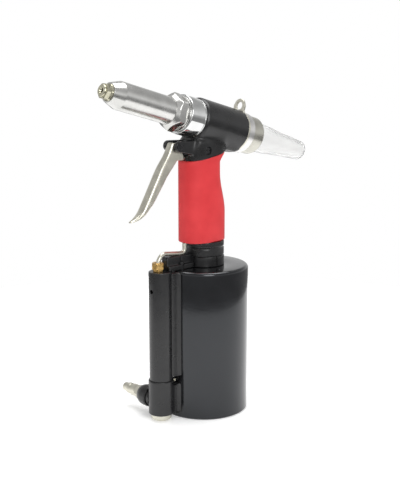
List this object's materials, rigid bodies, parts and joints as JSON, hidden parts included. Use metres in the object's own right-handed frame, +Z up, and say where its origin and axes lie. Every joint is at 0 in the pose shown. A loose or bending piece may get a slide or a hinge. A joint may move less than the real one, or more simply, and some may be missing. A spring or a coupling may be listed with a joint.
{
  "type": "pneumatic rivet gun",
  "caption": "Air-hydraulic blind rivet gun: tilted pulling head on a gripped handle over a tall air tank, with trigger lever, side valve and collector bottle.",
  "frame": {"origin": "centre of the flat base of the air tank", "axes": "+Z up along the tank, -X towards the nosepiece and the trigger lever, -Y the tool's left side"},
  "size_m": [0.2567, 0.0965, 0.3196],
  "materials": {
    "yellow_zinc": "yellow zinc plating on steel",
    "polished_steel": "turned and polished",
    "chrome": "polished",
    "hardened_steel": "hardened and ground",
    "spring_steel": "spring wire",
    "seal_rubber": "moulded",
    "black_casting": "satin black on cast aluminium",
    "satin_aluminium": "turned, satin",
    "nickel": "nickel plated",
    "clear_plastic": "frosted clear plastic",
    "plated_steel": "nickel plated sheet steel",
    "red_rubber": "smooth moulded sleeve",
    "tank_black": "gloss black",
    "valve_black": "black anodised",
    "brass": "turned",
    "bronze": "bearing bronze",
    "piston_aluminium": "machined",
    "black_oxide": "black oxide on steel"
  },
  "bodies": {
    "tool_frame": {"nosepiece": "yellow_zinc", "nose_housing": "polished_steel", "head_collar": "chrome", "collar_seal": "seal_rubber", "handle_casting": "black_casting", "hanger": "plated_steel", "rear_ring": "satin_aluminium", "rear_cap": "nickel", "oil_screw": "black_oxide", "lever_pin": "black_oxide", "lever_clips": "black_oxide", "pilot_sleeve": "black_oxide", "grip_sleeve": "red_rubber", "neck_nut": "valve_black", "ram_gland": "bronze", "ram_seal": "seal_rubber", "air_tank": "tank_black", "tank_base": "valve_black", "piston_bumper": "seal_rubber", "valve_tube": "valve_black", "valve_block": "valve_black", "valve_bracket": "black_casting", "bracket_screws": "black_oxide", "valve_plug": "plated_steel", "block_screw": "plated_steel", "inlet_bushing": "valve_black", "pilot_tube": "plated_steel", "brass_nut": "brass", "brass_fitting": "brass", "return_spring": "spring_steel", "pilot_spring": "spring_steel", "valve_spring": "spring_steel"},
    "lever": {"lever": "plated_steel"},
    "pilot_plunger": {"pilot_plunger": "plated_steel"},
    "valve_spool": {"valve_spool": "piston_aluminium", "spool_seals": "seal_rubber"},
    "air_piston": {"air_piston": "piston_aluminium", "air_piston_seal": "seal_rubber", "ram": "hardened_steel"},
    "pulling_set": {"oil_piston": "polished_steel", "oil_piston_seal": "seal_rubber", "jaw_case": "hardened_steel", "jaws": "hardened_steel", "jaw_pusher": "hardened_steel", "jaw_spring": "spring_steel"},
    "collector": {"collector_bottle": "clear_plastic"},
    "air_plug": {"air_plug": "plated_steel"}
  },
  "joints": [
    {"name": "lever_pivot", "type": "hinge", "parent": "tool_frame", "child": "lever", "pos_m": [-0.038, 0, 0.259], "axis": [0, -1, 0], "range_deg": [0, 20], "stiffness_Nm_per_rad": 0.6, "springref_deg": -17.19},
    {"name": "pilot_slide", "type": "slide", "parent": "tool_frame", "child": "pilot_plunger", "axis": [1, 0, 0], "range_m": [0, 0.0041], "deforming": ["pilot_spring"]},
    {"name": "spool_slide", "type": "slide", "parent": "tool_frame", "child": "valve_spool", "axis": [0, 0, -1], "range_m": [0, 0.0081], "deforming": ["valve_spring"]},
    {"name": "air_piston_slide", "type": "slide", "parent": "tool_frame", "child": "air_piston", "axis": [0, 0, 1], "range_m": [0, 0.08]},
    {"name": "pull_slide", "type": "slide", "parent": "tool_frame", "child": "pulling_set", "axis": [0.9641, 0, -0.2656], "range_m": [0, 0.0176], "deforming": ["return_spring"]},
    {"name": "collector_slide", "type": "slide", "parent": "tool_frame", "child": "collector", "axis": [0.9641, 0, -0.2656], "range_m": [0, 0.045]},
    {"name": "inlet_swivel", "type": "hinge", "parent": "tool_frame", "child": "air_plug", "pos_m": [-0.0555, 0, 0.0183], "axis": [0, 1, 0], "continuous": true}
  ],
  "couplings": [
    {"joint": "pilot_slide", "follows": "lever_pivot", "m_per_rad": 0.0117},
    {"joint": "spool_slide", "follows": "lever_pivot", "m_per_rad": 0.023},
    {"joint": "pull_slide", "follows": "air_piston_slide", "ratio": 0.219}
  ]
}
